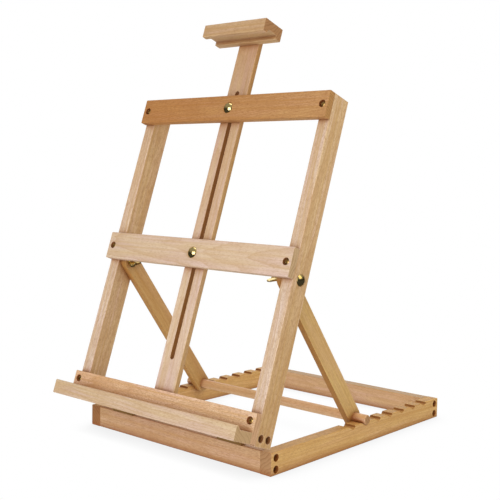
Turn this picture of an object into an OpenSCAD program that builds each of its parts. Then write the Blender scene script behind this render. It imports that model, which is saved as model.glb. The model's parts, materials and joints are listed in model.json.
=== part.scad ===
// Tabletop H-frame easel in beech.
// A screwed base frame carries a leaning frame on two butt hinges. Two struts joined by a rod
// prop the frame up: the rod drops into notches along the base. A slotted mast with a grooved
// canvas clamp slides behind the crossbars and is locked by two wing nuts.
// Origin: middle of the front rail's underside, on the table. +X right, +Y back, +Z up.

/* [Base] */
// Width of the base and of the leaning frame
base_w = 318; // [260:1:420]
// Depth of the base, front to back
base_d = 374; // [360:1:460]
// Height of the base rails
rail_h = 27.5; // [24:0.5:36]
// Thickness of the base rails
rail_t = 17; // [15:0.5:22]
// Number of notches in each side rail
notch_count = 7; // [4:1:7]
// Distance from one notch to the next
notch_pitch = 29; // [24:0.5:30]
// Notch that the prop rod rests in, counted from the front
rest_notch = 2; // [1:1:4]

/* [Leaning frame] */
// Length of the two stiles
stile_l = 421.8; // [400:1:460]
// Width of a stile, seen from the front
stile_w = 16.5; // [15:0.5:20]
// Depth of a stile, front to back
stile_d = 29.2; // [26:0.2:34]
// Thickness of both crossbars
crossbar_t = 10; // [8:0.5:12]
// Height of the top crossbar
top_bar_h = 34; // [30:1:40]
// Height of the middle crossbar
mid_bar_h = 36; // [30:1:40]
// Height of the middle crossbar's centre above the stile bottoms
mid_bar_up = 210.8; // [205:0.2:220]

/* [Ledge] */
// Height of the ledge's back plate
plate_h = 34.6; // [32:0.2:40]
// Thickness of the ledge's back plate
plate_t = 9; // [8:0.5:12]
// Depth of the tray, from back plate to lip face
tray_d = 29.2; // [24:0.2:40]
// Thickness of the tray
tray_t = 13; // [10:0.5:16]
// Height of the lip face
lip_h = 17.5; // [15:0.5:22]

/* [Mast and clamp] */
// Width of the mast
mast_w = 34.6; // [30:0.2:40]
// Thickness of the mast
mast_t = 8; // [7:0.5:10]
// Length of the mast
mast_l = 491; // [480:1:500]
// Width of the slot in the mast
slot_w = 6.6; // [6.4:0.1:8]
// Width of the canvas clamp
clamp_w = 105.4; // [80:0.2:140]
// Depth of the canvas clamp, front to back
clamp_d = 35.2; // [30:0.2:40]
// Height of the canvas clamp
clamp_h = 17; // [15:0.5:22]

/* [Prop] */
// Distance from strut pivot to rod centre
strut_l = 239.6; // [236:0.2:243]
// Width of a strut
strut_w = 23.7; // [20:0.1:25]
// Thickness of a strut
strut_t = 9; // [8:0.5:10]
// Diameter of the rod
rod_dia = 12.7; // [10:0.1:12.7]
// Length of the rod
rod_l = 323; // [322:1:330]

/* [Hardware] */
// Diameter of the carriage bolts
bolt_dia = 6; // [5:0.5:6]
// Diameter of a bolt's domed head
head_dia = 15; // [12:0.5:18]
// Span of a wing nut across both wings
wing_span = 28; // [24:1:28]

/* [Hidden] */

$fn = 48;
bite = 1;              // how far a cutter runs past the face it opens
ease = 0.8;            // chamfer along every long edge of the timber
gap = 0.1;             // running gap between parts that slide or turn
mid_y = (base_d - rail_t) / 2;   // middle of the base, front to back

// Notch shape: a ramp in front, a rounded floor and an upright wall behind
notch_open = 14.6;
notch_depth = 4.2;
notch_floor_r = 4;
rod_sink = 3.25;       // how far the rod's underside sits below the rail top
rod_to_wall = 5.7;     // from rod centre back to the notch wall
second_rod_y = mid_y + 3.5;      // rod centre when it rests in the second notch
rod_y = second_rod_y + (rest_notch - 2) * notch_pitch;
rod_z = rail_h + rod_dia / 2 - rod_sink;
first_wall_y = second_rod_y + rod_to_wall - notch_pitch;

// Hinge line, along X over the base's front top edge
knuckle_r = 2.2;
hinge_pin_r = 1;
pin_y = -rail_t / 2 - 0.5;
pin_z = rail_h + knuckle_r + gap;
hinge_x = 95;
hinge_w = 38;
leaf_t = 1.2;
leaf_l = 15;
leaf_screw_x = 12;     // leaf screws, either side of a hinge's centre
leaf_screw_up = 10;    // leaf screws, out from the hinge line

// Leaning frame, in its own axes: X right, Y back, Z up along the stiles, origin on the hinge line
foot_z = 2;
rear_y = -2.3;
front_y = rear_y - stile_d;
stile_x = base_w / 2 - stile_w / 2;
head_z = foot_z + stile_l;
top_bar_z = head_z - top_bar_h / 2;
mid_bar_z = foot_z + mid_bar_up;
bottom_rail_h = 19;
bottom_rail_w = base_w - 2 * stile_w;
plate_z = foot_z + 1.8;
plate_screw_z = plate_z + plate_h - 9.7;
tray_z = foot_z + 1.5;
tray_back_y = front_y - plate_t;
tray_screw_z = plate_z + 6;
tray_screw_x = 105;

// Prop pivot, in the leaning frame's axes
pivot_y = rear_y - stile_d / 2;
pivot_z = foot_z + 195.1;

// Lean of the frame, from the triangle of hinge line, strut pivot and rod
pivot_arm = norm([pivot_y, pivot_z]);
rod_arm = norm([rod_y - pin_y, rod_z - pin_z]);
rod_rise = atan2(rod_z - pin_z, rod_y - pin_y);
hinge_angle = acos((pow(pivot_arm, 2) + pow(rod_arm, 2) - pow(strut_l, 2)) / (2 * pivot_arm * rod_arm));
lean = 90 - rod_rise - hinge_angle - atan2(pivot_y, pivot_z);
pivot_world_y = pin_y + pivot_z * sin(lean) + pivot_y * cos(lean);
pivot_world_z = pin_z + pivot_z * cos(lean) - pivot_y * sin(lean);
strut_angle = atan2(rod_y - pivot_world_y, pivot_world_z - rod_z);

// Struts, thin spacers and washers, stacked inwards from each stile
spacer_t = 0.8;
washer_t = 1.2;
washer_dia = 15;
stile_inner_x = base_w / 2 - stile_w;
strut_outer_x = stile_inner_x - spacer_t - 2 * gap;
strut_inner_x = strut_outer_x - strut_t;
prop_nut_x = strut_inner_x - washer_t - 2 * gap;

// Mast
mast_front_y = front_y + gap;
mast_rear_y = mast_front_y + mast_t;
mast_foot_z = foot_z + bottom_rail_h + 0.6;
slot_foot_z = 77.8;
slot_head_z = 433.8;
clamp_z = 498.2;
clamp_lip_t = 8;
clamp_flange_t = 9.2;
clamp_groove = 5;
clamp_screw_x = 9;
mast_nut_y = mast_rear_y + washer_t + 2 * gap;

// Carriage bolts and wing nuts
bolt_bore = bolt_dia + 0.16;
neck_w = bolt_dia;
neck_l = 3.5;
head_h = 3.6;
bolt_end = 7;          // thread showing past a wing nut
nut_h = 8;
nut_foot_r = 5.6;
nut_top_r = 4.4;
wing_t = 2.2;
wing_rise = 14;
prop_nut_turn = 57;    // how the prop wing nuts are left standing
mast_nut_turn = 25;    // how the mast wing nuts are left standing

// Wood screws
screw_dia = 3.4;
screw_head_dia = 7.6;
screw_head_h = 2.2;
sink_dia = 9.2;
base_sink = 7;         // depth of the counterbores in the rails and stiles
bar_sink = 3.6;        // depth of the counterbores in the crossbars and back plate
base_screw_rise = 6.9; // corner screws, above and below the rail's middle
bottom_screw_y = 6.6;  // bottom rail screws, either side of the rail's middle

// Rectangle with its corner at the origin and chamfered corners
module eased(a, b) {
    polygon([[ease, 0], [a - ease, 0], [a, ease], [a, b - ease],
             [a - ease, b], [ease, b], [0, b - ease], [0, ease]]);
}

// Boards: centred on X, with their lowest Y and Z faces on the axes
module board_x(l, y, z) {
    translate([-l / 2, 0, 0]) rotate([90, 0, 90]) linear_extrude(l) eased(y, z);
}
module board_y(l, x, z) {
    translate([-x / 2, l, 0]) rotate([90, 0, 0]) linear_extrude(l) eased(x, z);
}
module board_z(l, x, y) {
    translate([-x / 2, 0, 0]) linear_extrude(l) eased(x, y);
}

// Place children in the leaning frame's axes
module on_frame() {
    translate([0, pin_y, pin_z]) rotate([-lean, 0, 0]) children();
}

// Place children in the prop's axes: origin on the pivot line, rod straight below
module on_prop() {
    translate([0, pivot_world_y, pivot_world_z]) rotate([strut_angle, 0, 0]) children();
}

// Turn a Z tool so that it points along -X (side 1) or +X (side -1), into the timber
module into_side(side) {
    rotate([0, -90 * side, 0]) children();
}

// Turn a Z tool so that it points along +Y, into the front of the frame
module into_front() {
    rotate([-90, 0, 0]) children();
}

// Counterbore with a clearance hole below it, from z = 0 upwards
module sink_hole(sink, depth) {
    translate([0, 0, -bite]) cylinder(d = sink_dia, h = sink + bite);
    cylinder(d = screw_dia + 2 * gap, h = depth);
}

// Pilot hole, from z = 0 upwards
module pilot_hole(depth) {
    translate([0, 0, -bite]) cylinder(d = screw_dia + 2 * gap, h = depth + bite);
}

// Cross-head wood screw: head at z = 0, thread upwards
module wood_screw(l) {
    point = 4;
    difference() {
        union() {
            intersection() {
                cylinder(d = screw_head_dia, h = screw_head_h);
                translate([0, 0, screw_head_dia * 0.62]) sphere(r = screw_head_dia * 0.62 + 0.4, $fn = 40);
            }
            translate([0, 0, screw_head_h - 0.1]) cylinder(d = screw_dia, h = l - point - screw_head_h + 0.1);
            translate([0, 0, l - point]) cylinder(d1 = screw_dia, d2 = 0.6, h = point);
        }
        for (turn = [0, 90])
            rotate([0, 0, turn + 20]) translate([-2.1, -0.45, -bite]) cube([4.2, 0.9, bite + 1.3]);
    }
}

// Countersunk hinge screw: head flush at z = 0, thread upwards
module hinge_screw() {
    cylinder(d1 = 4.6, d2 = 2.4, h = leaf_t);
    translate([0, 0, leaf_t - 0.1]) cylinder(d = 2.4, h = 8);
}
module hinge_screw_hole() {
    translate([0, 0, -0.02]) cylinder(d1 = 4.8, d2 = 2.6, h = leaf_t + 0.04);
}

// Carriage bolt: underside of the head at z = 0, shank upwards
module carriage_bolt(l) {
    dome_r = (pow(head_dia / 2, 2) + pow(head_h, 2)) / (2 * head_h);
    intersection() {
        translate([0, 0, dome_r - head_h]) sphere(r = dome_r, $fn = 72);
        translate([0, 0, -head_h]) cylinder(d = head_dia, h = head_h);
    }
    translate([-neck_w / 2, -neck_w / 2, -0.1]) cube([neck_w, neck_w, neck_l + 0.1]);
    cylinder(d = bolt_dia, h = l);
}

// Hole for a carriage bolt, from z = 0 upwards
module bolt_hole(depth) {
    translate([0, 0, -bite]) cylinder(d = bolt_bore, h = depth + 2 * bite);
    translate([-neck_w / 2 - gap / 2, -neck_w / 2 - gap / 2, -bite])
        cube([neck_w + gap, neck_w + gap, neck_l + gap + bite]);
}

module washer(t) {
    difference() {
        cylinder(d = washer_dia, h = t);
        translate([0, 0, -bite]) cylinder(d = bolt_bore + 0.2, h = t + 2 * bite);
    }
}

// One wing of a wing nut, in the XZ plane, leaning outwards
module wing() {
    tip_r = 4.2;
    rotate([90, 0, 0]) translate([0, 0, -wing_t / 2]) linear_extrude(wing_t) union() {
        translate([wing_span / 2 - tip_r, wing_rise - tip_r]) circle(r = tip_r, $fn = 40);
        polygon([[nut_top_r - 1, 1.2], [nut_foot_r + 1.6, 2.4], [wing_span / 2 - 0.6, wing_rise - tip_r - 2.3],
                 [wing_span / 2 - 7.4, wing_rise - 2.2], [nut_top_r - 1, nut_h - 1]]);
    }
}

// Wing nut: seat at z = 0, wings upwards
module wing_nut() {
    difference() {
        union() {
            cylinder(r1 = nut_foot_r, r2 = nut_top_r, h = nut_h);
            for (turn = [0, 180]) rotate([0, 0, turn]) wing();
        }
        translate([0, 0, -bite]) cylinder(d = bolt_bore, h = wing_rise + 2 * bite);
    }
}

// Cutter for one notch, with its upright wall at y = 0 and the rail top at z = 0
module notch_cutter() {
    ramp_end_y = -5.4;
    l = rail_t + 2 * bite;
    translate([-l / 2, -notch_floor_r, notch_floor_r - notch_depth])
        rotate([0, 90, 0]) cylinder(r = notch_floor_r, h = l);
    translate([-l / 2, 0, 0]) rotate([90, 0, 90]) linear_extrude(l)
        polygon([[-notch_open, 0], [ramp_end_y, -notch_depth], [-notch_floor_r, -notch_depth],
                 [-notch_floor_r, notch_floor_r - notch_depth], [0, notch_floor_r - notch_depth],
                 [0, bite], [-notch_open, bite]]);
}

// Side rail: side is 1 for the right one, -1 for the left one
module side_rail(side) {
    outer = side * base_w / 2;
    difference() {
        translate([outer - side * rail_t / 2, -rail_t / 2, 0]) board_y(base_d, rail_t, rail_h);
        for (i = [0 : notch_count - 1])
            translate([outer - side * rail_t / 2, first_wall_y + i * notch_pitch, rail_h]) notch_cutter();
        for (end = [-1, 1], up = [-1, 1])
            translate([outer, mid_y + end * mid_y, rail_h / 2 + up * base_screw_rise])
                into_side(side) sink_hole(base_sink, rail_t + bite);
    }
}

// Front or back rail between the side rails: end is -1 for the front, 1 for the back
module cross_rail(end) {
    l = base_w - 2 * rail_t;
    y = mid_y + end * mid_y;
    difference() {
        translate([0, y - rail_t / 2, 0]) board_x(l, rail_t, rail_h);
        for (side = [-1, 1], up = [-1, 1])
            translate([side * l / 2, y, rail_h / 2 + up * base_screw_rise]) into_side(side) pilot_hole(26);
        if (end == -1)
            for (hinge = [-1, 1], s = [-1, 1])
                translate([hinge * hinge_x + s * leaf_screw_x, pin_y + leaf_screw_up, rail_h])
                    rotate([180, 0, 0]) translate([0, 0, -bite]) cylinder(d = 2.6, h = 8 + bite);
    }
}

module left_rail() { color("#c79a62") side_rail(-1); }
module right_rail() { color("#c79a62") side_rail(1); }
module front_rail() { color("#b98860") cross_rail(-1); }
module back_rail() { color("#c09468") cross_rail(1); }

module base_screws() {
    color("#b8923c")
        for (side = [-1, 1], end = [-1, 1], up = [-1, 1])
            translate([side * (base_w / 2 - base_sink + screw_head_h),
                       mid_y + end * mid_y, rail_h / 2 + up * base_screw_rise])
                into_side(side) wood_screw(34);
}

// Knuckles with a tab that joins them to a leaf lying at y > 0, under the hinge line
module knuckles(starts, l) {
    for (x = starts)
        translate([x, 0, 0]) difference() {
            union() {
                rotate([0, 90, 0]) cylinder(r = knuckle_r, h = l);
                translate([0, 0, -knuckle_r]) cube([l, knuckle_r + 1, leaf_t]);
            }
            translate([-bite, 0, 0]) rotate([0, 90, 0]) cylinder(r = hinge_pin_r + gap / 2, h = l + 2 * bite);
        }
}

// Hinge leaf lying under the hinge line, with its screw holes open on top
module leaf(starts, l) {
    knuckles(starts, l);
    difference() {
        translate([-hinge_w / 2, knuckle_r + 0.4, -knuckle_r]) cube([hinge_w, leaf_l - knuckle_r, leaf_t]);
        for (s = [-1, 1])
            translate([s * leaf_screw_x, leaf_screw_up, -knuckle_r + leaf_t]) rotate([180, 0, 0]) hinge_screw_hole();
    }
}

module base_hinge_leaves() {
    color("#b8923c")
        for (hinge = [-1, 1])
            translate([hinge * hinge_x, pin_y, pin_z])
                leaf([-hinge_w / 2, hinge_w / 2 - 12], 12);
}

module hinge_pins() {
    color("#c8a24a")
        for (hinge = [-1, 1])
            translate([hinge * hinge_x - hinge_w / 2, pin_y, pin_z])
                rotate([0, 90, 0]) cylinder(r = hinge_pin_r, h = hinge_w);
}

module base_hinge_screws() {
    color("#b8923c")
        for (hinge = [-1, 1], s = [-1, 1])
            translate([hinge * hinge_x + s * leaf_screw_x, pin_y + leaf_screw_up, pin_z - knuckle_r + leaf_t])
                rotate([180, 0, 0]) hinge_screw();
}

// The leaf on the frame stands up the rear of the bottom rail, so it is the lying leaf turned up
module turned_up() {
    rotate([90, 0, 0]) mirror([0, 0, 1]) children();
}

module frame_hinge_leaves() {
    color("#b8923c") on_frame()
        for (hinge = [-1, 1])
            translate([hinge * hinge_x, 0, 0]) turned_up() leaf([-hinge_w / 2 + 12.2], 13.6);
}

module frame_hinge_screws() {
    color("#b8923c") on_frame()
        for (hinge = [-1, 1], s = [-1, 1])
            translate([hinge * hinge_x + s * leaf_screw_x, -knuckle_r + leaf_t, leaf_screw_up])
                rotate([90, 0, 0]) hinge_screw();
}

// Stile: side is 1 for the right one, -1 for the left one
module stile(side) {
    outer = side * base_w / 2;
    on_frame() difference() {
        translate([side * stile_x, front_y, foot_z]) board_z(stile_l, stile_w, stile_d);
        translate([outer, pivot_y, pivot_z]) into_side(side) bolt_hole(stile_w);
        for (s = [-1, 1])
            translate([outer, pivot_y + s * bottom_screw_y, foot_z + bottom_rail_h / 2])
                into_side(side) sink_hole(base_sink, stile_w + bite);
        for (z = [top_bar_z, mid_bar_z, plate_screw_z])
            translate([side * stile_x, front_y, z]) into_front() pilot_hole(22);
    }
}

module left_stile() { color("#dcc0a2") stile(-1); }
module right_stile() { color("#dcc0a2") stile(1); }

// Crossbar lying across the fronts of the stiles, centred on height z
module crossbar(h, z) {
    on_frame() difference() {
        translate([0, front_y - crossbar_t, z - h / 2]) board_x(base_w, crossbar_t, h);
        for (side = [-1, 1])
            translate([side * stile_x, front_y - crossbar_t, z]) into_front() sink_hole(bar_sink, crossbar_t + bite);
        translate([0, front_y - crossbar_t, z]) into_front() bolt_hole(crossbar_t);
    }
}

module top_crossbar() { color("#c08a56") crossbar(top_bar_h, top_bar_z); }
module mid_crossbar() { color("#d9bb98") crossbar(mid_bar_h, mid_bar_z); }

module frame_bottom_rail() {
    color("#c09468") on_frame() difference() {
        translate([0, front_y, foot_z]) board_x(bottom_rail_w, stile_d, bottom_rail_h);
        for (side = [-1, 1], s = [-1, 1])
            translate([side * bottom_rail_w / 2, pivot_y + s * bottom_screw_y, foot_z + bottom_rail_h / 2])
                into_side(side) pilot_hole(26);
        for (hinge = [-1, 1], s = [-1, 1])
            translate([hinge * hinge_x + s * leaf_screw_x, rear_y, leaf_screw_up])
                rotate([90, 0, 0]) translate([0, 0, -bite]) cylinder(d = 2.6, h = 8 + bite);
    }
}

module ledge_plate() {
    color("#cf9f74") on_frame() difference() {
        translate([0, front_y - plate_t, plate_z]) board_x(base_w, plate_t, plate_h);
        for (side = [-1, 1])
            translate([side * stile_x, front_y - plate_t, plate_screw_z])
                into_front() sink_hole(bar_sink, plate_t + bite);
        for (x = [-tray_screw_x, 0, tray_screw_x])
            translate([x, front_y, tray_screw_z]) rotate([90, 0, 0]) sink_hole(screw_head_h + gap, plate_t + bite);
    }
}

// Tray with its lip, one moulded length: the lip's rear face slopes down to the tray
module ledge_tray() {
    lip_top_t = 3.6;
    lip_foot_t = 6.2;
    section = [[ease, 0], [tray_d, 0], [tray_d, tray_t], [lip_foot_t + ease, tray_t],
               [lip_foot_t, tray_t + ease], [lip_top_t, lip_h], [ease, lip_h], [0, lip_h - ease], [0, ease]];
    color("#dcbf9a") on_frame() difference() {
        translate([-base_w / 2, tray_back_y - tray_d, tray_z])
            rotate([90, 0, 90]) linear_extrude(base_w) polygon(section);
        for (x = [-tray_screw_x, 0, tray_screw_x])
            translate([x, tray_back_y, tray_screw_z]) rotate([90, 0, 0]) pilot_hole(18);
    }
}

module crossbar_screws() {
    color("#b8923c") on_frame()
        for (side = [-1, 1], z = [top_bar_z, mid_bar_z])
            translate([side * stile_x, front_y - crossbar_t + bar_sink - screw_head_h, z])
                into_front() wood_screw(28);
}

module ledge_screws() {
    color("#b8923c") on_frame()
        for (side = [-1, 1])
            translate([side * stile_x, front_y - plate_t + bar_sink - screw_head_h, plate_screw_z])
                into_front() wood_screw(28);
}

module tray_screws() {
    color("#b8923c") on_frame()
        for (x = [-tray_screw_x, 0, tray_screw_x])
            translate([x, front_y, tray_screw_z]) rotate([90, 0, 0]) wood_screw(25);
}

module bottom_rail_screws() {
    color("#b8923c") on_frame()
        for (side = [-1, 1], s = [-1, 1])
            translate([side * (base_w / 2 - base_sink + screw_head_h),
                       pivot_y + s * bottom_screw_y, foot_z + bottom_rail_h / 2])
                into_side(side) wood_screw(34);
}

module mast() {
    slot_r = slot_w / 2;
    color("#d8bb9c") on_frame() difference() {
        translate([0, mast_front_y, mast_foot_z]) board_z(mast_l, mast_w, mast_t);
        for (z = [slot_foot_z + slot_r, slot_head_z - slot_r])
            translate([0, mast_front_y - bite, z]) into_front() cylinder(r = slot_r, h = mast_t + 2 * bite);
        translate([-slot_r, mast_front_y - bite, slot_foot_z + slot_r])
            cube([slot_w, mast_t + 2 * bite, slot_head_z - slot_foot_z - slot_w]);
        for (x = [-clamp_screw_x, clamp_screw_x])
            translate([x, mast_rear_y, clamp_z + clamp_h / 2]) rotate([90, 0, 0])
                pilot_hole(mast_t + bite);
    }
}

// Block with a groove along its underside, which holds the canvas's top edge
module canvas_clamp() {
    rear_gap = 0.05;
    section = [[ease, 0], [clamp_lip_t - ease, 0], [clamp_lip_t, ease], [clamp_lip_t + 1.6, clamp_groove],
               [clamp_d - clamp_flange_t, clamp_groove], [clamp_d - clamp_flange_t, 0],
               [clamp_d - rear_gap, 0], [clamp_d - rear_gap, clamp_h], [ease, clamp_h],
               [0, clamp_h - ease], [0, ease]];
    color("#c8a070") on_frame() difference() {
        translate([-clamp_w / 2, mast_front_y - clamp_d, clamp_z])
            rotate([90, 0, 90]) linear_extrude(clamp_w) polygon(section);
        for (x = [-clamp_screw_x, clamp_screw_x])
            translate([x, mast_front_y, clamp_z + clamp_h / 2]) rotate([90, 0, 0]) pilot_hole(20);
    }
}

module clamp_screws() {
    color("#b8923c") on_frame()
        for (x = [-clamp_screw_x, clamp_screw_x])
            translate([x, mast_rear_y + screw_head_h, clamp_z + clamp_h / 2]) rotate([90, 0, 0]) wood_screw(25);
}

module mast_bolts() {
    color("#c8a24a") on_frame()
        for (z = [top_bar_z, mid_bar_z])
            translate([0, front_y - crossbar_t, z]) into_front()
                carriage_bolt(mast_nut_y + nut_h + bolt_end - front_y + crossbar_t);
}

module mast_washers() {
    color("#c8a24a") on_frame()
        for (z = [top_bar_z, mid_bar_z])
            translate([0, mast_rear_y + gap, z]) into_front() washer(washer_t);
}

module mast_wing_nut(z) {
    color("#c8a24a") on_frame() translate([0, mast_nut_y, z]) into_front() rotate([0, 0, mast_nut_turn]) wing_nut();
}

module upper_wing_nut() { mast_wing_nut(top_bar_z); }
module lower_wing_nut() { mast_wing_nut(mid_bar_z); }

// Strut: side is 1 for the right one, -1 for the left one
module strut(side) {
    r = strut_w / 2;
    on_prop() translate([side * (strut_outer_x + strut_inner_x) / 2 - strut_t / 2, 0, 0]) difference() {
        union() {
            rotate([0, 90, 0]) cylinder(r = r, h = strut_t, $fn = 72);
            translate([0, 0, -strut_l]) rotate([0, 90, 0]) cylinder(r = r, h = strut_t, $fn = 72);
            translate([0, -r, -strut_l]) cube([strut_t, strut_w, strut_l]);
        }
        translate([-bite, 0, 0]) rotate([0, 90, 0]) cylinder(d = bolt_bore, h = strut_t + 2 * bite);
        translate([-bite, 0, -strut_l]) rotate([0, 90, 0]) cylinder(d = rod_dia + gap / 2, h = strut_t + 2 * bite);
    }
}

module left_strut() { color("#c79c63") strut(-1); }
module right_strut() { color("#c79c63") strut(1); }

// Rod with eased ends
module prop_rod() {
    taper = 1;
    r = rod_dia / 2;
    color("#cf9f74") on_prop() translate([0, 0, -strut_l]) rotate([0, 90, 0]) {
        translate([0, 0, -rod_l / 2 + taper]) cylinder(r = r, h = rod_l - 2 * taper, $fn = 72);
        translate([0, 0, -rod_l / 2]) cylinder(r1 = r - taper, r2 = r, h = taper, $fn = 72);
        translate([0, 0, rod_l / 2 - taper]) cylinder(r1 = r, r2 = r - taper, h = taper, $fn = 72);
    }
}

// Stand a Z tool on the pivot line at distance x from the middle, pointing inwards
module on_pivot(side, x) {
    on_frame() translate([side * x, pivot_y, pivot_z]) into_side(side) children();
}

module prop_bolts() {
    color("#c8a24a")
        for (side = [-1, 1])
            on_pivot(side, base_w / 2) carriage_bolt(base_w / 2 - prop_nut_x + nut_h + bolt_end);
}

module prop_spacers() {
    color("#c8a24a")
        for (side = [-1, 1]) on_pivot(side, stile_inner_x - gap) washer(spacer_t);
}

module prop_washers() {
    color("#c8a24a")
        for (side = [-1, 1]) on_pivot(side, strut_inner_x - gap) washer(washer_t);
}

module prop_wing_nut(side) {
    color("#c8a24a") on_pivot(side, prop_nut_x) rotate([0, 0, side * prop_nut_turn]) wing_nut();
}

module left_wing_nut() { prop_wing_nut(-1); }
module right_wing_nut() { prop_wing_nut(1); }

left_rail();
right_rail();
front_rail();
back_rail();
base_screws();
base_hinge_leaves();
hinge_pins();
base_hinge_screws();
left_stile();
right_stile();
top_crossbar();
mid_crossbar();
frame_bottom_rail();
ledge_plate();
ledge_tray();
crossbar_screws();
ledge_screws();
tray_screws();
bottom_rail_screws();
frame_hinge_leaves();
frame_hinge_screws();
mast();
canvas_clamp();
clamp_screws();
mast_bolts();
mast_washers();
upper_wing_nut();
lower_wing_nut();
left_strut();
right_strut();
prop_rod();
prop_bolts();
prop_spacers();
prop_washers();
left_wing_nut();
right_wing_nut();
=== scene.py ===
"""Looks of the tabletop easel: oiled beech boards, brass fittings, a pale studio and the camera."""
import json
import math

import bmesh
import bpy
import numpy as np
from mathutils import Matrix, Vector


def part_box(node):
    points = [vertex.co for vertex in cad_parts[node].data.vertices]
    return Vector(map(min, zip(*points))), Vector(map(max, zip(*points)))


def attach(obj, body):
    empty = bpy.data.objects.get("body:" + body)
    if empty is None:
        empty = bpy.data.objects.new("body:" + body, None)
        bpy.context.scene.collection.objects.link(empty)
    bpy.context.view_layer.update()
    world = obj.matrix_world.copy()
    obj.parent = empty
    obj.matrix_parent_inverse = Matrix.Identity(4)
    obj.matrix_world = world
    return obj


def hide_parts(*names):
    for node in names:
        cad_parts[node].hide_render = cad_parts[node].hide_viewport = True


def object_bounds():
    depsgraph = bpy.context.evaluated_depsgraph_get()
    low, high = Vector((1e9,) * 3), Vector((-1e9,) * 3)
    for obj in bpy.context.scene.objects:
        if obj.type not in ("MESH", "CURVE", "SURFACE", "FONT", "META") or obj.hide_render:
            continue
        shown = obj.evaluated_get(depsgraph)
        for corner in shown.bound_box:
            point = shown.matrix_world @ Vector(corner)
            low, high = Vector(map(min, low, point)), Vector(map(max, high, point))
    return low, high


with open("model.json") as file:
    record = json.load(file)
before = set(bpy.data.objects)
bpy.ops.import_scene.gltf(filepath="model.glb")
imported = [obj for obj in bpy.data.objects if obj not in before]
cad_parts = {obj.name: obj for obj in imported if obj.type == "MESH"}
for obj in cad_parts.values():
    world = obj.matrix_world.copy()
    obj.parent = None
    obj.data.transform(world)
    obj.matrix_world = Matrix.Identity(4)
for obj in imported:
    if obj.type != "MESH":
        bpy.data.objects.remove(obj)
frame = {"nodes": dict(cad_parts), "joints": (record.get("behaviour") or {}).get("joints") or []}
cad_low, cad_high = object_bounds()

MM = 0.001
X, Y, Z = Vector((1, 0, 0)), Vector((0, 1, 0)), Vector((0, 0, 1))
JOINTS = {j["name"]: j for j in frame["joints"]}
UP = Vector(JOINTS["mast_slide"]["axis"]).normalized()     # along the stiles and the mast
BACK = UP.cross(X)                                         # through the crossbars, front to back
WHITE = (1, 1, 1, 1)


def centre(node):
    low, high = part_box(node)
    return (low + high) / 2


PIVOT = Vector(JOINTS["prop_swing"]["pos_m"])
STRUT = (centre("prop_rod") - PIVOT).normalized()          # along the struts, pivot to rod


# ---------------------------------------------------------------- material graphs

class Graph:
    """Short calls for wiring up the nodes of one material or world."""

    def __init__(self, owner):
        owner.use_nodes = True
        self.owner = owner
        self.tree = owner.node_tree
        self.tree.nodes.clear()

    def add(self, kind, inputs, **settings):
        node = self.tree.nodes.new("ShaderNode" + kind)
        for key, value in settings.items():
            setattr(node, key, value)
        for key, value in inputs.items():
            if isinstance(value, bpy.types.NodeSocket):
                self.tree.links.new(value, node.inputs[key])
            else:
                node.inputs[key].default_value = value
        return node

    def math(self, operation, a, b=0.0):
        return self.add("Math", {0: a, 1: b}, operation=operation).outputs[0]

    def vector(self, operation, a, b):
        return self.add("VectorMath", {0: a, 1: b}, operation=operation).outputs["Vector"]

    def dot(self, a, b):
        return self.add("VectorMath", {0: a, 1: b}, operation="DOT_PRODUCT").outputs["Value"]

    def join(self, x, y, z):
        return self.add("CombineXYZ", {0: x, 1: y, 2: z}).outputs[0]

    def noise(self, vector, detail=2.0, roughness=0.5):
        inputs = {"Vector": vector, "Scale": 1.0, "Detail": detail, "Roughness": roughness}
        return self.add("TexNoise", inputs).outputs["Fac"]

    def wobble(self, vector, size, detail=2.0):
        """Noise between about -size and size."""
        return self.math("MULTIPLY", self.math("SUBTRACT", self.noise(vector, detail), 0.5), 2 * size)

    def total(self, *values):
        result = values[0]
        for value in values[1:]:
            result = self.math("ADD", result, value)
        return result

    def step(self, value, low, high, to_low=0.0, to_high=1.0):
        inputs = {"Value": value, "From Min": low, "From Max": high, "To Min": to_low, "To Max": to_high}
        return self.add("MapRange", inputs, interpolation_type="SMOOTHSTEP").outputs["Result"]

    def ramp(self, value, stops):
        node = self.add("ValToRGB", {"Fac": value})
        elements = node.color_ramp.elements
        while len(elements) < len(stops):
            elements.new(0.5)
        for element, (place, shade) in zip(elements, stops):
            element.position = place
            element.color = (shade, shade, shade, 1)
        return node.outputs["Color"]

    def mix(self, factor, a, b, blend="MIX"):
        node = self.add("Mix", {0: factor, 6: a, 7: b}, data_type="RGBA", blend_type=blend)
        return node.outputs[2]

    def tint(self, colour, factors):
        return self.mix(1.0, colour, factors, "MULTIPLY")

    def edges(self, radius):
        """1 along edges sharper than the bevel radius, 0 on flats."""
        rounded = self.add("Bevel", {"Radius": radius}, samples=4).outputs["Normal"]
        true = self.add("NewGeometry", {}).outputs["Normal"]
        return self.step(self.math("SUBTRACT", 1.0, self.dot(rounded, true)), 0.01, 0.16)

    def bump(self, height, strength, distance):
        inputs = {"Height": height, "Strength": strength, "Distance": distance}
        return self.add("Bump", inputs).outputs["Normal"]

    def by_ray(self, camera, glossy, other):
        """A shader that differs for camera rays, mirror rays and all the rest."""
        rays = self.add("LightPath", {}).outputs
        unseen = self.add("MixShader", {0: rays["Is Glossy Ray"], 1: other, 2: glossy}).outputs[0]
        return self.add("MixShader", {0: rays["Is Camera Ray"], 1: unseen, 2: camera}).outputs[0]

    def surface(self, **inputs):
        names = {k.replace("_", " ").title().replace("Ior", "IOR"): v for k, v in inputs.items()}
        shader = self.add("BsdfPrincipled", names)
        self.add("OutputMaterial", {"Surface": shader.outputs[0]})
        return self.owner


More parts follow.
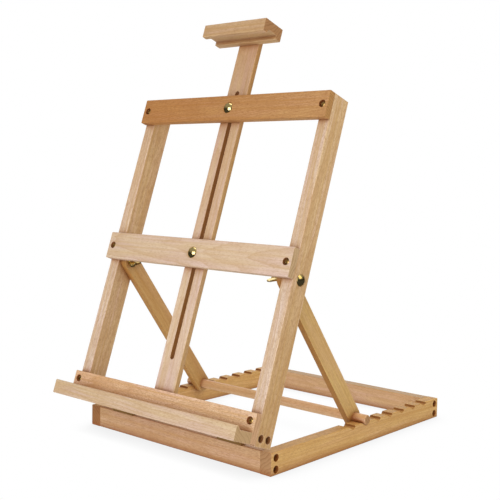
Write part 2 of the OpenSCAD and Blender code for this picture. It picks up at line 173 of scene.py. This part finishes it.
def linear(hex_colour):
    """Scene-linear RGBA of an sRGB hex colour."""
    parts = [int(hex_colour[i:i + 2], 16) / 255 for i in (1, 3, 5)]
    return tuple(((p + 0.055) / 1.055) ** 2.4 if p > 0.04045 else p / 12.92 for p in parts) + (1.0,)


def tinted(colour, factors):
    return tuple(min(1.0, c * f) for c, f in zip(colour, factors)) + (1.0,)


# ---------------------------------------------------------------- beech

# How a board was cut from the log: where the pith lies (mm across the face, mm through the board), how
# fast it drifts along the board across and through it, the width of a year's growth and its contrast
CUTS = {
    "flat": dict(pith=(3, 46), drift=(0.02, 0.055), year=4.4, contrast=0.95),
    "flat_fine": dict(pith=(-5, 60), drift=(0.02, -0.05), year=2.8, contrast=0.7),
    "slant": dict(pith=(-62, 22), drift=(-0.13, 0.01), year=3.2, contrast=0.85),
    "quarter": dict(pith=(70, 6), drift=(0.012, 0.01), year=3.0, contrast=0.55),
    "rift": dict(pith=(-48, 44), drift=(0.02, -0.016), year=4.2, contrast=0.85),
    "wavy": dict(pith=(-34, 30), drift=(0.03, -0.03), year=11, contrast=1.3),
}

# Shade of the wood through one year's growth, up to the dark line that ends it
YEAR = ((0.0, 0.0), (0.5, 0.14), (0.82, 0.62), (0.93, 1.0), (1.0, 0.05))

SEED_STEPS = (7.3, 3.1, 1.7)
ARRIS = 1.3 * MM           # how far handling has rubbed an edge pale
CORNER_SHADE_REACH = 14 * MM           # how far into an inner corner the painted shade reaches


def growth_ring(g, cut, place, grain, seed):
    """1 on the dark line that ends a year's growth, fading to 0 through the year."""
    u, v, w = place
    beside = g.total(v, -cut["pith"][0], g.math("MULTIPLY", u, cut["drift"][0]))
    behind = g.total(w, -cut["pith"][1], g.math("MULTIPLY", u, cut["drift"][1]))
    radius = g.math("SQRT", g.total(g.math("POWER", beside, 2.0), g.math("POWER", behind, 2.0)))
    radius = g.total(radius, g.wobble(grain(0.006, 0.03), 7), g.wobble(grain(0.035, 0.16), 0.9))
    pace = g.wobble(g.join(g.math("MULTIPLY", radius, 0.09), seed, 0.0), cut["year"] * 1.2)
    years = g.math("DIVIDE", g.total(radius, pace), cut["year"])
    ring = g.ramp(g.math("FRACT", years), YEAR)
    return g.math("MULTIPLY", ring, g.step(g.noise(grain(0.012, 0.05)), 0.25, 0.6, 0.35, 1.0))


def figure(g, board, grain, ring, fleck, fibre):
    """Colour of a planed face: patches of two tones under layers of darker and lighter marks."""
    base = linear(board["colour"])
    dash = g.step(g.noise(grain(0.42, 2.4), 1.0), 0.54, 0.66)
    streak = g.noise(grain(0.004, 0.28), 3.0)
    patch = g.noise(grain(0.009, 0.08), 2.0)
    cloud = g.noise(grain(0.025, 0.04), 3.0, 0.6)
    golden, pink = tinted(base, (1.04, 1.03, 0.87)), tinted(base, (1.02, 0.97, 1.07))
    wood = g.mix(g.step(patch, 0.36, 0.64), golden, pink)
    layers = (
        (g.step(cloud, 0.35, 0.66), 0.6, (0.9, 0.82, 0.7)),
        (ring, CUTS[board["cut"]]["contrast"], (0.75, 0.58, 0.37)),
        (g.step(streak, 0.44, 0.66), 0.74, (0.84, 0.7, 0.43)),
        (g.step(fibre, 0.38, 0.6, 1.0, 0.0), 0.34, (0.78, 0.66, 0.52)),
        (g.step(fibre, 0.52, 0.74), 0.3, (1.14, 1.14, 1.12)),
        (fleck, 0.46, (0.66, 0.49, 0.33)),
        (dash, 0.42, (0.6, 0.44, 0.3)),
    )
    for marks, share, factors in layers:
        amount = g.math("MULTIPLY", marks, min(1.0, share * board["vivid"]))
        wood = g.mix(amount, wood, tinted(base, factors))
    return wood


def end_grain(g, base, ring, pores):
    """Colour of a sawn end: rings across darker wood, dotted with open pores."""
    early, late = tinted(base, (0.72, 0.6, 0.47)), tinted(base, (0.45, 0.31, 0.19))
    sawn = g.mix(g.math("MULTIPLY", ring, 0.9), early, late)
    return g.mix(g.math("MULTIPLY", pores, 0.45), sawn, tinted(base, (0.4, 0.28, 0.18)))


def beech(name, board, middle, half_length, half_width, seed):
    """Oiled beech whose growth rings run through the whole board, so faces, edges and ends agree."""
    g = Graph(bpy.data.materials.new(name))
    coordinates = g.add("TexCoord", {}).outputs
    along, across = board["along"], board["across"]
    axes = (along, across, along.cross(across))
    point = g.vector("SUBTRACT", coordinates["Object"], middle)
    u, v, w = (g.math("MULTIPLY", g.dot(point, axis), 1 / MM) for axis in axes)

    def grain(per_u, per_side):
        """Board position scaled along and across the grain, shifted so that no two boards match."""
        scales = ((u, per_u), (v, per_side), (w, per_side))
        scaled = [g.math("MULTIPLY", value, scale) for value, scale in scales]
        return g.vector("ADD", g.join(*scaled), Vector([seed * step for step in SEED_STEPS]))

    def faces(axis):
        """1 on the faces that look along an axis of the board."""
        return g.step(g.math("ABSOLUTE", g.dot(coordinates["Normal"], axis)), 0.6, 0.9)

    base = linear(board["colour"])
    ring = growth_ring(g, CUTS[board["cut"]], (u, v, w), grain, seed)
    fleck = g.step(g.noise(grain(0.19, 1.1), 1.0), 0.54, 0.64)
    fibre = g.noise(grain(0.035, 1.5), 3.0, 0.65)
    pores = g.step(g.noise(grain(2.2, 2.2), 1.0), 0.5, 0.68)
    end, edge = faces(along), faces(across)
    inside_end = g.step(g.math("ABSOLUTE", u), 0.985 * half_length, 0.97 * half_length)
    inside_edge = g.step(g.math("ABSOLUTE", v), 0.8 * half_width, 0.6 * half_width)
    wall = g.total(g.math("MULTIPLY", end, inside_end), g.math("MULTIPLY", edge, inside_edge))
    far = g.step(u, -half_length, half_length)
    rubbed = g.edges(ARRIS)
    open_air = g.add("AmbientOcclusion", {"Distance": CORNER_SHADE_REACH}, samples=8).outputs["AO"]

    wood = figure(g, board, grain, ring, fleck, fibre)
    # painted light and shade: narrow faces tinted, from the near end to the far end, to how the lamps fall on
    # them
    wood = g.mix(edge, wood, g.tint(wood, g.mix(far, board["side"], board["side_far"])))
    wood = g.tint(wood, g.mix(far, WHITE, board["fade"]))
    wood = g.mix(end, wood, g.tint(end_grain(g, base, ring, pores), board["end"]))
    # painted shade: the walls of slots and notches darkened and made more orange by their wall tint
    wood = g.mix(wall, wood, g.tint(wood, board["walls"]))
    wood = g.mix(g.math("MULTIPLY", rubbed, 0.35), wood, tinted(base, (1.14, 1.1, 1.02)))
    # painted shade: the wood darker and more orange in corners and crevices, where little light reaches
    wood = g.mix(g.step(open_air, 0.35, 0.95, 0.9, 0.0), wood, tinted(base, (0.4, 0.17, 0.04)))

    sheen = g.total(0.46, g.math("MULTIPLY", fibre, 0.16), g.math("MULTIPLY", end, 0.15),
                    g.math("MULTIPLY", rubbed, -0.08))
    open_pores = g.math("MULTIPLY", pores, end)
    relief = g.total(g.math("MULTIPLY", fibre, 0.7), g.math("MULTIPLY", fleck, -0.5),
                     g.math("MULTIPLY", ring, 0.35), g.math("MULTIPLY", open_pores, -0.8))
    return g.surface(base_color=wood, roughness=sheen, normal=g.bump(relief, 0.5, 0.12 * MM),
                     coat_weight=0.1, coat_roughness=0.35)


# Tints of a board's colour, some of them painted light and shade
EVEN = (1.0, 1.0, 1.0)
# painted light and shade for a narrow face: yellower and darker, as lit by the warm side light
PAINTED_SIDE_TINT = (0.85, 0.78, 0.62)
# painted shade for the walls of slots and notches: darker and more orange
WALL_SHADE = (0.72, 0.57, 0.2)


def timber(colour, along, across, cut, side=EVEN, side_far=None, fade=EVEN, end=EVEN, walls=EVEN, vivid=1.0):
    """One board's looks: the way its grain runs, the way across its face, its cut, the tints of its narrow
    faces at the near and far end, painted light and shade, of its whole far end, of its sawn ends and the
    painted shade on the walls of its slots or notches, and how lively its figure is."""
    return dict(colour=colour, along=along, across=across, cut=cut, side=side + (1,),
                side_far=(side_far or side) + (1,), fade=fade + (1,), end=end + (1,),
                walls=walls + (1,), vivid=vivid)


BOARDS = {
    # painted shade: the left rail's sawn end darkened as it lies in the shade of the tray
    "left_rail": timber("#dfb97b", Y, X, "rift", end=(0.64, 0.49, 0.41), walls=WALL_SHADE),
    "right_rail": timber("#dfb97b", Y, Z, "rift", (0.86, 0.8, 0.62), end=(0.81, 0.82, 1.1), walls=WALL_SHADE,
                         vivid=1.1),
    "front_rail": timber("#ceac8a", X, Z, "quarter", vivid=1.2),
    "back_rail": timber("#dcb892", X, Z, "flat_fine", (0.76, 0.79, 0.73), vivid=0.8),
    "left_stile": timber("#e8d8d1", UP, X, "rift", (0.88, 0.79, 0.56), fade=(0.96, 0.9, 0.82), vivid=1.5),
    "right_stile": timber("#e4d4cb", UP, X, "wavy", (0.88, 0.73, 0.43), (1.05, 1.0, 0.8),
                          fade=(0.96, 0.91, 0.82), vivid=1.4),
    "frame_bottom_rail": timber("#cfa377", X, UP, "quarter"),
    "top_crossbar": timber("#c38f57", X, UP, "slant", fade=(1.07, 1.25, 1.65),
                           end=(1.33, 1.68, 1.95), vivid=1.4),
    "mid_crossbar": timber("#dcc7b4", X, UP, "flat", end=(1.15, 1.2, 1.05), vivid=0.7),
    "ledge_plate": timber("#f2d1b1", X, UP, "flat", fade=(1.03, 1.13, 1.27), vivid=1.7),
    "ledge_tray": timber("#d7c1a9", X, UP, "rift", end=(1.11, 1.11, 0.93), vivid=0.8),
    "mast": timber("#e5d2c5", UP, X, "flat_fine", (0.85, 0.74, 0.45), fade=(0.79, 0.65, 0.48),
                   walls=WALL_SHADE, vivid=0.8),
    "canvas_clamp": timber("#ccae8a", X, BACK, "rift", end=(1.03, 0.92, 0.8)),
    "left_strut": timber("#cea972", STRUT, STRUT.cross(X), "rift", PAINTED_SIDE_TINT, vivid=0.9),
    "right_strut": timber("#d8b77b", STRUT, STRUT.cross(X), "quarter", (0.63, 0.455, 0.24), vivid=0.7),
    "prop_rod": timber("#e1bd99", X, Z, "rift", end=(0.83, 0.78, 0.62), vivid=0.9),
}


def ease_edges(piece, width):
    """Rounds the arrises of a sawn board or a stamped plate a little."""
    weld = piece.modifiers.new("weld", "WELD")
    weld.merge_threshold = 0.01 * MM
    flats = piece.modifiers.new("flats", "DECIMATE")
    flats.decimate_type = "DISSOLVE"
    flats.angle_limit = math.radians(0.5)
    bevel = piece.modifiers.new("ease", "BEVEL")
    bevel.width = width
    bevel.segments = 2
    bevel.limit_method = "ANGLE"
    bevel.angle_limit = math.radians(32)
    bevel.use_clamp_overlap = False
    normals = piece.modifiers.new("normals", "WEIGHTED_NORMAL")
    normals.weight = 100


def half_extent(node, axis):
    """Half of how far a node reaches along an axis."""
    places = [vertex.co.dot(axis) for vertex in node.data.vertices]
    return (max(places) - min(places)) / 2


def refinish(node, material, arris):
    """Gives a CAD node its material and eased edges."""
    node.data.materials.clear()
    node.data.materials.append(material)
    ease_edges(node, arris)


def finish_boards():
    for seed, (name, board) in enumerate(BOARDS.items(), 1):
        node = frame["nodes"][name]
        half_length, half_width = (half_extent(node, board[way]) / MM for way in ("along", "across"))
        material = beech("beech_" + name, board, centre(name), half_length, half_width, seed)
        refinish(node, material, 0.3 * MM)


# ---------------------------------------------------------------- brass

def brass(name, colour, roughness, tarnish, shade=0.7, metallic=1.0):
    """Brass with faint handling marks, darker by shade in its hollows and brighter on its edges."""
    g = Graph(bpy.data.materials.new(name))
    place = g.add("TexCoord", {}).outputs["Object"]
    cloud = g.noise(g.vector("MULTIPLY", place, Vector((260, 260, 260))), 3.0)
    scratch = g.noise(g.vector("MULTIPLY", place, Vector((900, 5200, 1700))), 2.0)
    hollow = g.add("AmbientOcclusion", {"Distance": 4 * MM}, samples=6).outputs["AO"]
    base = linear(colour)
    metal = g.mix(g.step(cloud, 0.45, 0.75, 0.0, tarnish), base, tinted(base, (0.62, 0.5, 0.36)))
    metal = g.mix(g.step(hollow, 0.2, 0.85, shade, 0.0), metal, tinted(base, (0.3, 0.22, 0.14)))
    metal = g.mix(g.math("MULTIPLY", g.edges(0.5 * MM), 0.4), metal, tinted(base, (1.2, 1.22, 1.3)))
    polish = g.total(roughness, g.step(cloud, 0.4, 0.8, 0.0, 0.12), g.step(scratch, 0.5, 0.8, 0.0, 0.08))
    return g.surface(base_color=metal, metallic=metallic, roughness=polish,
                     normal=g.bump(g.total(scratch, cloud), 0.12, 0.05 * MM))


def islands(node):
    """The vertex positions of each separate solid in a CAD node."""
    mesh = bmesh.new()
    mesh.from_mesh(frame["nodes"][node].data)
    bmesh.ops.remove_doubles(mesh, verts=mesh.verts, dist=0.01 * MM)
    left, solids = set(mesh.verts), []
    while left:
        queue, solid = [left.pop()], []
        while queue:
            vertex = queue.pop()
            solid.append(tuple(vertex.co))
            near = [e.other_vert(vertex) for e in vertex.link_edges]
            queue += [v for v in near if v in left]
            left.difference_update(near)
        solids.append(np.array(solid))
    mesh.free()
    return sorted(solids, key=lambda points: tuple(points.mean(0)))


def stand(points, axis):
    """Axes of a fastener: +Z runs from its widest end to its other end, +X towards its furthest points,
    and the origin is on its centre line at the widest end. Also gives its length and greatest radius."""
    side = axis.orthogonal().normalized()
    local = points @ np.array((side, axis.cross(side), axis)).T
    middle = (local.min(0) + local.max(0)) / 2
    reach = np.hypot(*(local - middle)[:, :2].T)
    wide = (local - middle)[reach > 0.92 * reach.max()]
    down = -1 if wide[:, 2].mean() > 0 else 1
    spread = np.linalg.eigh(wide[:, :2].T @ wide[:, :2])[1][:, -1]
    along_x = (side * float(spread[0]) + axis.cross(side) * float(spread[1])).normalized()
    along_z = axis * down
    low_end = middle[2] - down * (local[:, 2].max() - local[:, 2].min()) / 2
    origin = side * middle[0] + axis.cross(side) * middle[1] + axis * low_end
    turned = Matrix((along_x, along_z.cross(along_x), along_z)).transposed().to_4x4()
    return Matrix.Translation(origin) @ turned, local[:, 2].max() - local[:, 2].min(), reach.max()


STEPS = 48                 # facets around a turned shape


def revolve(mesh, rows, matrix, thread=0.0, pitch=1.0):
    """Turned shape from (z, radius, share of thread) rows. Its ends close on the axis where radius is 0."""
    rings = []
    for z, radius, share in rows:
        if radius == 0:
            rings.append([mesh.verts.new(matrix @ Vector((0, 0, z)))])
            continue
        ring = []
        for k in range(STEPS):
            lead = (z / pitch - k / STEPS) % 1.0
            r = radius - share * thread * abs(2 * lead - 1)
            angle = 2 * math.pi * k / STEPS
            ring.append(mesh.verts.new(matrix @ Vector((r * math.cos(angle), r * math.sin(angle), z))))
        rings.append(ring)
    for low, high in zip(rings, rings[1:]):
        for k in range(STEPS):
            after = (k + 1) % STEPS
            corners = [low[k % len(low)], low[after % len(low)], high[after % len(high)], high[k % len(high)]]
            mesh.faces.new(list(dict.fromkeys(corners)))


def piece_from(mesh, name, material, body, slot, *stands_for):
    """A smooth-shaded object made from a bmesh, riding on a body in place of CAD nodes."""
    bmesh.ops.recalc_face_normals(mesh, faces=mesh.faces)
    data = bpy.data.meshes.new(name)
    mesh.to_mesh(data)
    mesh.free()
    for face in data.polygons:
        face.use_smooth = True
    data.materials.append(material)
    piece = bpy.data.objects.new(name, data)
    bpy.context.scene.collection.objects.link(piece)
    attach(piece, body)
    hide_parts(*stands_for)
    return piece


DOME = 3.6 * MM            # height of a carriage bolt's head
BOLT_R = 3 * MM
THREAD_L = 20 * MM
THREAD_PITCH = 1 * MM
THREAD_DEPTH = 0.5 * MM


def bolt_rows(length, head_r):
    """Profile of a carriage bolt from the crown of its head to its threaded tip."""
    rim = 0.35 * MM
    ball = (head_r ** 2 + DOME ** 2) / (2 * DOME)
    widest = math.asin((head_r - rim) / ball)
    rows = [(0.0, 0.0, 0.0)]
    rows += [(ball * (1 - math.cos(a)), ball * math.sin(a), 0.0) for a in np.linspace(0, widest, 15)[1:]]
    rows += [(DOME - 0.25 * rim, head_r - 0.1 * rim, 0.0), (DOME, head_r - 0.3 * rim, 0.0),
             (DOME, BOLT_R + 1 * MM, 0.0), (DOME + 0.1 * MM, BOLT_R, 0.0)]
    start, tip = length - THREAD_L, length - 1 * MM
    rows.append((start, BOLT_R, 0.0))
    for z in np.arange(start + THREAD_PITCH / 6, tip, THREAD_PITCH / 6):
        rows.append((z, BOLT_R, min(1.0, (z - start) / (2 * THREAD_PITCH))))
    rows += [(tip, BOLT_R - THREAD_DEPTH, 0.0), (length - 0.2 * MM, BOLT_R - 1 * MM, 0.0),
             (length, BOLT_R - 1.2 * MM, 0.0), (length, 0.0, 0.0)]
    return rows


def bolts(node, axis, material):
    mesh = bmesh.new()
    for points in islands(node):
        place, length, head_r = stand(points, axis)
        revolve(mesh, bolt_rows(length, head_r), place, THREAD_DEPTH, THREAD_PITCH)
    piece_from(mesh, node + "_turned", material, "frame", "polished_brass", node)


HUB_R = 4 * MM
NUT_BORE = BOLT_R + 0.08 * MM
NUT_FOOT = 5.6 * MM        # radius of the seat
NUT_NECK = 4.9 * MM
NUT_TOP = 4.2 * MM
WING_ROOT = 1.7 * MM       # half thickness of a wing at the hub's centre
WING_TAPER = 0.06


def wing_outline(reach, rise):
    """Outline of one wing as (out, up) points: a round tip that blends into the hub."""
    tip_r = 0.3 * rise
    tip = (reach - tip_r, rise - tip_r)
    arc = [math.radians(a) for a in range(-50, 151, 20)]
    lobe = [(tip[0] + tip_r * math.cos(a), tip[1] + tip_r * math.sin(a)) for a in arc]
    root = HUB_R - 1 * MM
    return [(root, 0.9 * MM), (HUB_R + 2.6 * MM, 1.7 * MM)] + lobe + [(root, 0.52 * rise)]


def nut_hub(mesh, height):
    """Coned hub on a round seat, with a clear bore."""
    top = 0.57 * height
    rows = [(0.0, NUT_BORE), (0.0, NUT_FOOT), (1.3 * MM, NUT_FOOT), (2.2 * MM, NUT_NECK),
            (0.55 * height, NUT_TOP), (top, NUT_TOP - 0.4 * MM), (top, NUT_BORE), (0.0, NUT_BORE)]
    revolve(mesh, [(z, r, 0.0) for z, r in rows], Matrix.Identity(4))


def nut_wings(mesh, height, reach):
    """Two ear-shaped wings that thin towards their tips."""
    outline = wing_outline(reach, height)
    for side in (1, -1):
        faces = []
        for half in (1, -1):
            ring = [mesh.verts.new((side * x, half * (WING_ROOT - WING_TAPER * x), z)) for x, z in outline]
            faces.append(ring)
            mesh.faces.new(ring if half == side else ring[::-1])
        for i in range(len(outline)):
            j = (i + 1) % len(outline)
            mesh.faces.new((faces[0][i], faces[0][j], faces[1][j], faces[1][i]))


def fused(mesh):
    """The mesh as one cast skin with soft inner corners."""
    rough = bpy.data.meshes.new("rough")
    mesh.to_mesh(rough)
    mesh.free()
    cast = bpy.data.objects.new("cast", rough)
    bpy.context.scene.collection.objects.link(cast)
    remesh = cast.modifiers.new("remesh", "REMESH")
    remesh.mode = "VOXEL"
    remesh.voxel_size = 0.3 * MM
    soften = cast.modifiers.new("soften", "SMOOTH")
    soften.iterations = 6
    done = bmesh.new()
    done.from_mesh(cast.evaluated_get(bpy.context.evaluated_depsgraph_get()).to_mesh())
    bpy.data.objects.remove(cast)
    return done


def wing_nut(node, axis, material):
    """Cast wing nut: a coned hub and two wings, seated as the CAD node is."""
    place, height, reach = stand(islands(node)[0], axis)
    mesh = bmesh.new()
    nut_hub(mesh, height)
    nut_wings(mesh, height, reach)
    bmesh.ops.remove_doubles(mesh, verts=mesh.verts, dist=0.001 * MM)
    bmesh.ops.recalc_face_normals(mesh, faces=mesh.faces)
    done = fused(mesh)
    done.transform(place @ Matrix.Translation((0, 0, height)) @ Matrix.Rotation(math.pi, 4, "X"))
    piece_from(done, node + "_cast", material, node, "polished_brass", node)


WING_NUTS = {"upper_wing_nut": BACK, "lower_wing_nut": BACK, "left_wing_nut": X, "right_wing_nut": X}
WASHERS = ("mast_washers", "prop_spacers", "prop_washers")
HINGES = ("base_hinge_leaves", "frame_hinge_leaves", "hinge_pins", "base_hinge_screws", "frame_hinge_screws")
SCREWS = ("base_screws", "crossbar_screws", "ledge_screws", "tray_screws", "bottom_rail_screws",
          "clamp_screws")


def finish_brass():
    polished = brass("polished_brass", "#ead494", 0.12, 0.2)
    dull = brass("screw_brass", "#d3b06e", 0.3, 0.45)
    # painted shade: the hinges get dark, half metallic brass so that they read as the shadow line under the
    # tray
    shadow_toned_brass = brass("hinge_brass", "#a07c46", 0.5, 0.5, 0.3, 0.5)
    bolts("mast_bolts", BACK, polished)
    bolts("prop_bolts", X, polished)
    for name, axis in WING_NUTS.items():
        wing_nut(name, axis, polished)
    for material, nodes in ((polished, WASHERS), (dull, SCREWS), (shadow_toned_brass, HINGES)):
        for name in nodes:
            refinish(frame["nodes"][name], material, 0.12 * MM)


finish_boards()
finish_brass()


# ---------------------------------------------------------------- studio and camera

def aim(thing, target):
    thing.rotation_euler = (Vector(target) - thing.location).to_track_quat("-Z", "Y").to_euler()


def softbox(name, place, size, watts, colour, target):
    light = bpy.data.lights.new(name, "AREA")
    light.shape = "SQUARE"
    light.size = size
    light.energy = watts
    light.color = colour
    lamp = bpy.data.objects.new(name, light)
    lamp.location = place
    aim(lamp, target)
    bpy.context.scene.collection.objects.link(lamp)


# Softboxes: place from the object's middle, width, watts and colour
SOFTBOXES = {
    "key": (Vector((0.6, -1.97, 0.32)), 1.5, 24, (1.0, 0.97, 0.95)),
    "warm_side": (Vector((1.45, 0.2, 1.05)), 1.2, 6, (1.0, 0.82, 0.45)),
    "overhead": (Vector((0.1, 0.4, 2.1)), 1.6, 16, (1.0, 0.98, 0.95)),
    "behind": (Vector((-1.1, 1.9, 0.8)), 1.6, 9, (1.0, 0.96, 0.9)),
}


def studio(middle):
    """Softboxes in a pale surround that mirrors darker near the horizon, as a real room does."""
    for name, (place, size, watts, colour) in SOFTBOXES.items():
        softbox(name, middle + place, size, watts, colour, middle)

    world = bpy.data.worlds.new("studio")
    bpy.context.scene.world = world
    g = Graph(world)
    height = g.dot(g.add("TexCoord", {}).outputs["Generated"], Z)
    gloom = g.step(height, 0.05, 0.6, 0.02, 0.32)
    lit = g.add("Background", {"Color": (1.0, 0.98, 0.95, 1), "Strength": 0.44}).outputs[0]
    mirrored = g.add("Background", {"Color": (1.0, 0.95, 0.86, 1), "Strength": gloom}).outputs[0]
    seen = g.add("Background", {"Color": WHITE, "Strength": 1.0}).outputs[0]
    g.add("OutputWorld", {"Surface": g.by_ray(seen, mirrored, lit)})


def floor(size):
    """Pale floor that is white to the camera, apart from a soft shadow close to what stands on it."""
    mesh = bmesh.new()
    bmesh.ops.create_circle(mesh, cap_ends=True, radius=size, segments=64)
    data = bpy.data.meshes.new("floor")
    mesh.to_mesh(data)
    mesh.free()
    plane = bpy.data.objects.new("floor", data)
    bpy.context.scene.collection.objects.link(plane)

    g = Graph(bpy.data.materials.new("floor_paper"))
    place = g.add("TexCoord", {}).outputs["Object"]
    away = g.add("VectorMath", {0: place}, operation="LENGTH").outputs["Value"]
    open_air = g.add("AmbientOcclusion", {"Distance": 45 * MM}, samples=16).outputs["AO"]
    bounced = g.add("Emission", {"Strength": g.step(away, 0.3, 1.8, 1.05, 0.75)}).outputs[0]
    mirrored = g.add("Emission", {"Strength": 0.05}).outputs[0]
    seen = g.add("Emission", {"Strength": g.step(open_air, 0.3, 0.95, 0.86, 1.0)}).outputs[0]
    g.add("OutputMaterial", {"Surface": g.by_ray(seen, mirrored, bounced)})
    data.materials.append(g.owner)


def camera(azimuth, pitch, roll, place, lens):
    """Camera looking along azimuth (0 is +Y, 90 is -X), pitched down and rolled, angles in degrees."""
    turn, dip, tip = (math.radians(a) for a in (azimuth, pitch, roll))
    ahead = Vector((-math.sin(turn) * math.cos(dip), math.cos(turn) * math.cos(dip), -math.sin(dip)))
    level = Vector((math.cos(turn), math.sin(turn), 0))
    above = level.cross(ahead)
    right = level * math.cos(tip) + above * math.sin(tip)
    top = above * math.cos(tip) - level * math.sin(tip)
    data = bpy.data.cameras.new("camera")
    data.lens = lens
    data.sensor_width = 36
    eye = bpy.data.objects.new("camera", data)
    eye.matrix_world = Matrix.Translation(place) @ Matrix((right, top, -ahead)).transposed().to_4x4()
    bpy.context.scene.collection.objects.link(eye)
    bpy.context.scene.camera = eye


FLOOR_R = 8.0
EYE = Vector((0.8083, -0.7984, 0.3407))
LENS = 66.16               # mm, on a 36 mm wide frame

studio((cad_low + cad_high) / 2)
floor(FLOOR_R)
camera(41.04, 4.57, 1.086, EYE, LENS)
bpy.context.scene.view_settings.view_transform = "Standard"
